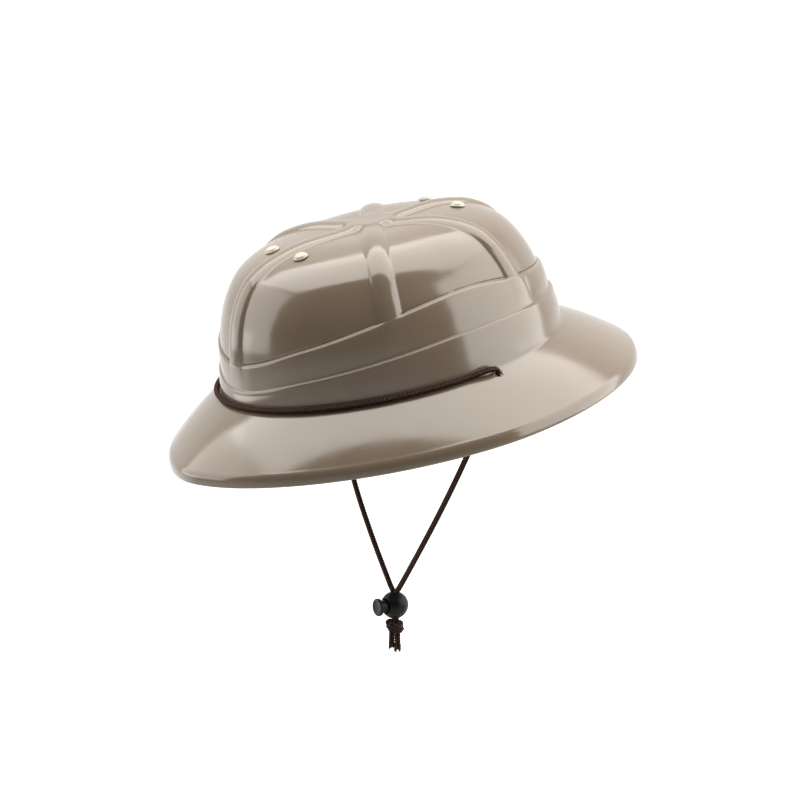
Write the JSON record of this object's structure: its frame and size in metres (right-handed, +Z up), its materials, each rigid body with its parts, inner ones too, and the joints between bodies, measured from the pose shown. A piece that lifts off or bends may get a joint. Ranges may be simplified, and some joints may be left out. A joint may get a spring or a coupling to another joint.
{
  "type": "safari hat",
  "caption": "Glossy moulded plastic safari helmet with a ribbed crown, a pleated band, a wide drooping brim, vent studs and a braided chin cord with a ball toggle.",
  "frame": {"origin": "where the crown meets the brim, 2 mm behind the middle of the head opening", "axes": "+X to the front of the hat, +Y to the wearer's left, +Z up; the hat leans forward by 12 degrees about Y, as in the picture, and its cord hangs plumb"},
  "size_m": [0.301, 0.2598, 0.2805],
  "materials": {
    "shell": "gloss",
    "stud": "gloss",
    "cord": "matte",
    "toggle": "satin"
  },
  "bodies": {
    "hat": {"shell": "shell", "vent_stud_front_left": "stud", "vent_stud_front_right": "stud", "vent_stud_back_left": "stud", "vent_stud_back_right": "stud", "cord_band": "cord", "cord_strand_left": "cord", "cord_strand_right": "cord", "toggle_body": "toggle", "cord_knot": "cord", "cord_tail_left": "cord", "cord_tail_right": "cord"},
    "plunger": {"toggle_plunger": "toggle"}
  },
  "joints": [
    {"name": "plunger_press", "type": "slide", "parent": "hat", "child": "plunger", "axis": [-1, 0, 0], "range_m": [0, 0.0024], "stiffness_N_per_m": 300}
  ]
}
